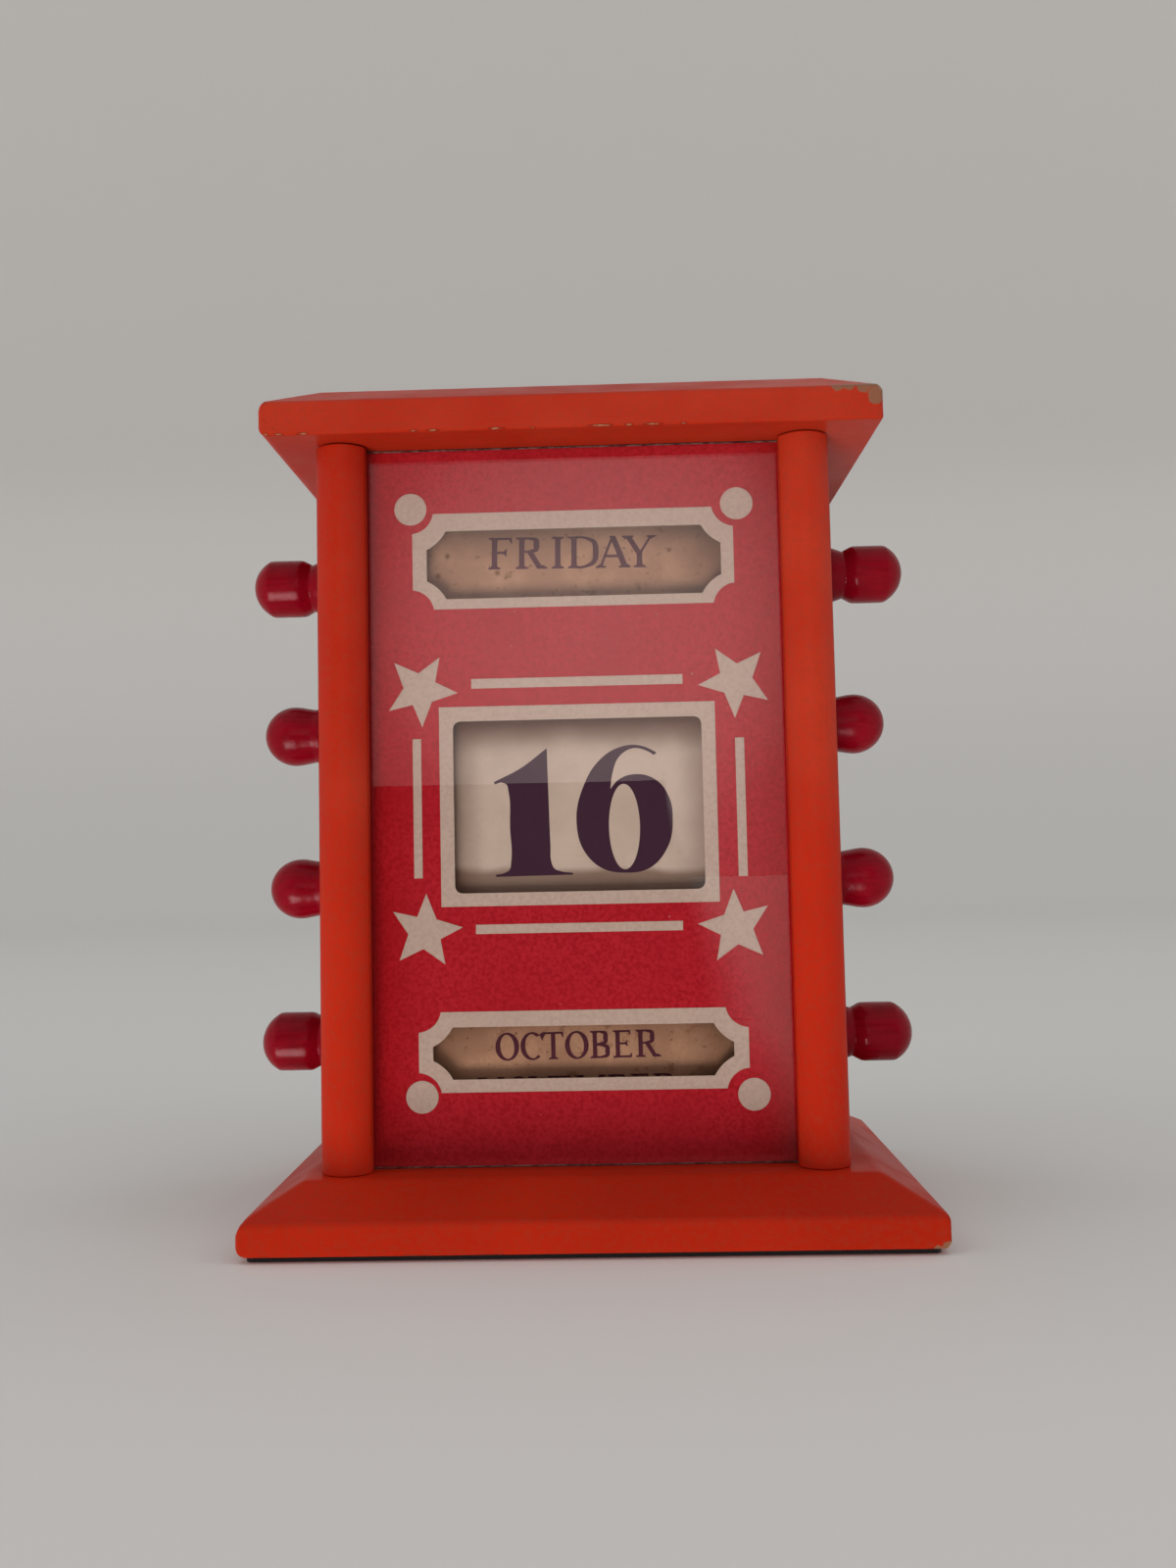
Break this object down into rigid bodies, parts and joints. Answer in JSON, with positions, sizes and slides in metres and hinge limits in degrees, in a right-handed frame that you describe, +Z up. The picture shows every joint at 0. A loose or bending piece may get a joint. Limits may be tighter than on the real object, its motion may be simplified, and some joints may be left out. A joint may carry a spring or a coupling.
{
  "type": "perpetual desk calendar",
  "caption": "Painted wooden cabinet with a glazed card front, weekday and month drums and a scrolling date paper, all turned by side knobs.",
  "frame": {"origin": "on the resting face of the felt, under the middle of the body and its knobs", "axes": "+Z up, +X to the right seen from the front, -Y towards the viewer"},
  "size_m": [0.1374, 0.076, 0.1645],
  "materials": {
    "red_paint": "satin orange-red paint on wood, worn at the edges",
    "knob_wood": "glossy crimson stained and lacquered wood",
    "bare_wood": "plain turned wood",
    "card": "printed deep red card, slightly glossy",
    "name_paper": "aged tan paper with foxing",
    "date_paper": "aged cream paper",
    "glass": "clear polished sheet glass",
    "hardboard": "brown hardboard",
    "felt": "black felt",
    "steel": "plain steel"
  },
  "bodies": {
    "housing": {"base_felt": "felt", "base_board": "red_paint", "base_screws": "steel", "left_side_panel": "red_paint", "right_side_panel": "red_paint", "left_column": "red_paint", "right_column": "red_paint", "glass_pane": "glass", "face_card": "card", "back_panel": "hardboard", "back_nails": "steel", "cap_board": "red_paint", "cap_dowels": "bare_wood", "date_paper_span": "date_paper"},
    "weekday": {"weekday_drum": "bare_wood", "weekday_axle": "bare_wood", "weekday_band": "name_paper", "weekday_knob_left": "knob_wood", "weekday_knob_right": "knob_wood"},
    "month": {"month_drum": "bare_wood", "month_axle": "bare_wood", "month_band": "name_paper", "month_knob_left": "knob_wood", "month_knob_right": "knob_wood"},
    "date_upper": {"upper_date_roller": "bare_wood", "upper_paper_roll": "date_paper", "upper_date_knob_left": "knob_wood", "upper_date_knob_right": "knob_wood"},
    "date_lower": {"lower_date_roller": "bare_wood", "lower_paper_roll": "date_paper", "lower_date_knob_left": "knob_wood", "lower_date_knob_right": "knob_wood"}
  },
  "joints": [
    {"name": "weekday_turn", "type": "hinge", "parent": "housing", "child": "weekday", "pos_m": [0, -0.0013, 0.1295], "axis": [1, 0, 0], "continuous": true},
    {"name": "month_turn", "type": "hinge", "parent": "housing", "child": "month", "pos_m": [0, -0.0013, 0.0337], "axis": [1, 0, 0], "continuous": true},
    {"name": "upper_date_turn", "type": "hinge", "parent": "housing", "child": "date_upper", "pos_m": [0, -0.01115, 0.09675], "axis": [1, 0, 0], "range_deg": [-4860, 4860]},
    {"name": "lower_date_turn", "type": "hinge", "parent": "housing", "child": "date_lower", "pos_m": [0, -0.01115, 0.06575], "axis": [1, 0, 0], "range_deg": [-4860, 4860]}
  ],
  "couplings": [
    {"joint": "lower_date_turn", "follows": "upper_date_turn", "ratio": 1}
  ]
}
